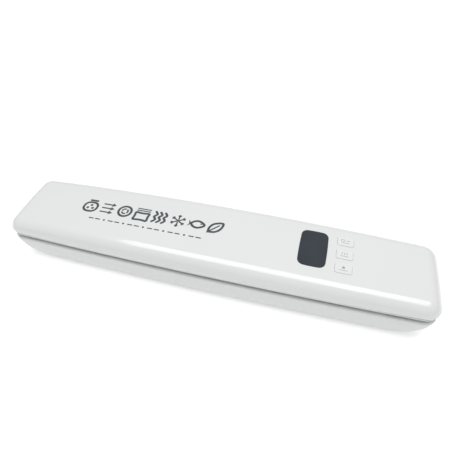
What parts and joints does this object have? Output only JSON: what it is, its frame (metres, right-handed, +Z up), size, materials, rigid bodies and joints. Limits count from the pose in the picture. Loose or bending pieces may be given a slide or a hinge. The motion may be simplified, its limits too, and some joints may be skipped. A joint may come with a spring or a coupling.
{
  "type": "vacuum sealer",
  "caption": "Slim countertop vacuum sealer for food bags: glossy lid with a window and keys, hinged over a base with a vacuum trough, heating strip, pump and latch buttons.",
  "frame": {"origin": "on the surface the feet stand on, under the middle of the body", "axes": "+X along the body to the user's right, +Y towards the hinge at the back, +Z up"},
  "size_m": [0.3598, 0.072, 0.0465],
  "materials": {
    "gloss_white": "high gloss",
    "satin_white": "satin",
    "smoked_window": "gloss, smoked blue-grey",
    "black_plastic": "matte",
    "led_clear": "gloss",
    "switch_metal": "satin",
    "board_green": "satin",
    "zinc_steel": "zinc plated",
    "white_silicone": "matte",
    "grey_foam": "matte foam",
    "key_white": "gloss",
    "button_white": "satin",
    "turned_steel": "turned",
    "armature_steel": "laminated",
    "capacitor_sleeve": "gloss sleeve",
    "fuse_glass": "clear",
    "heat_board": "phenolic",
    "heater_lead_insulation": "silicone",
    "heating_alloy": "rolled",
    "release_tape": "woven glass with fluoropolymer",
    "brass_terminal": "plated",
    "black_aluminium": "anodised",
    "mains_lead_insulation": "satin",
    "terminal_plastic": "satin",
    "pump_plastic": "satin",
    "black_rubber": "matte",
    "pump_lead_insulation": "satin",
    "relay_blue": "satin",
    "ferrite": "matte",
    "winding_tape": "polyester tape",
    "clear_tube": "translucent silicone"
  },
  "bodies": {
    "base": {"base_screws": "zinc_steel", "base_shell": "satin_white", "bulk_capacitor": "capacitor_sleeve", "deck_ends": "satin_white", "deck_front": "satin_white", "deck_rear": "satin_white", "fuse": "fuse_glass", "heater_bar": "heat_board", "heater_leads": "heater_lead_insulation", "heater_strip": "heating_alloy", "heater_tape": "release_tape", "heater_terminals": "brass_terminal", "heatsink": "black_aluminium", "hinge_pins": "turned_steel", "inlet_pins": "brass_terminal", "lid_switch": "black_plastic", "lower_gasket": "grey_foam", "mains_leads": "mains_lead_insulation", "mains_terminal": "terminal_plastic", "motor_can": "zinc_steel", "motor_end_cap": "terminal_plastic", "power_board": "board_green", "power_board_screws": "zinc_steel", "power_inlet": "black_plastic", "pump_cover": "pump_plastic", "pump_diaphragm": "black_rubber", "pump_housing": "pump_plastic", "pump_leads": "pump_lead_insulation", "relay": "relay_blue", "release_spring_left": "turned_steel", "release_spring_right": "turned_steel", "rubber_feet": "black_rubber", "terminal_screws": "zinc_steel", "transformer_core": "ferrite", "transformer_winding": "winding_tape", "trough_floor": "satin_white", "vacuum_hose": "clear_tube", "vacuum_port": "pump_plastic", "wobble_plate": "pump_plastic"},
    "lid": {"lid_cover": "gloss_white", "lid_liner": "satin_white", "display_lens": "smoked_window", "light_guide": "black_plastic", "indicator_leds": "led_clear", "tact_switches": "switch_metal", "control_board": "board_green", "control_board_screws": "zinc_steel", "press_strip": "white_silicone", "upper_gasket": "grey_foam", "latch_hooks": "satin_white", "lid_screws": "zinc_steel"},
    "vacuum_seal_key": {"vacuum_seal_key": "key_white"},
    "seal_only_key": {"seal_only_key": "key_white"},
    "stop_key": {"stop_key": "key_white"},
    "release_left": {"release_button_left": "button_white"},
    "release_right": {"release_button_right": "button_white"},
    "plunger": {"switch_plunger": "black_plastic"},
    "rotor": {"motor_shaft": "turned_steel", "motor_armature": "armature_steel", "pump_eccentric": "black_plastic"}
  },
  "joints": [
    {"name": "lid_hinge", "type": "hinge", "parent": "base", "child": "lid", "pos_m": [0, 0.0326, 0.0295], "axis": [-1, 0, 0], "range_deg": [0, 85]},
    {"name": "vacuum_seal_press", "type": "slide", "parent": "lid", "child": "vacuum_seal_key", "axis": [0, 0, -1], "range_m": [0, 0.0005], "stiffness_N_per_m": 300},
    {"name": "seal_only_press", "type": "slide", "parent": "lid", "child": "seal_only_key", "axis": [0, 0, -1], "range_m": [0, 0.0005], "stiffness_N_per_m": 300},
    {"name": "stop_press", "type": "slide", "parent": "lid", "child": "stop_key", "axis": [0, 0, -1], "range_m": [0, 0.0005], "stiffness_N_per_m": 300},
    {"name": "release_left_press", "type": "slide", "parent": "base", "child": "release_left", "axis": [1, 0, 0], "range_m": [0, 0.0025], "stiffness_N_per_m": 400, "deforming": ["release_spring_left"]},
    {"name": "release_right_press", "type": "slide", "parent": "base", "child": "release_right", "axis": [-1, 0, 0], "range_m": [0, 0.0025], "stiffness_N_per_m": 400, "deforming": ["release_spring_right"]},
    {"name": "lid_switch_press", "type": "slide", "parent": "base", "child": "plunger", "axis": [0, 0, -1], "range_m": [0, 0.0008], "stiffness_N_per_m": 200},
    {"name": "motor_spin", "type": "hinge", "parent": "base", "child": "rotor", "pos_m": [0.03, 0.0195, 0.0136], "axis": [1, 0, 0], "continuous": true}
  ]
}
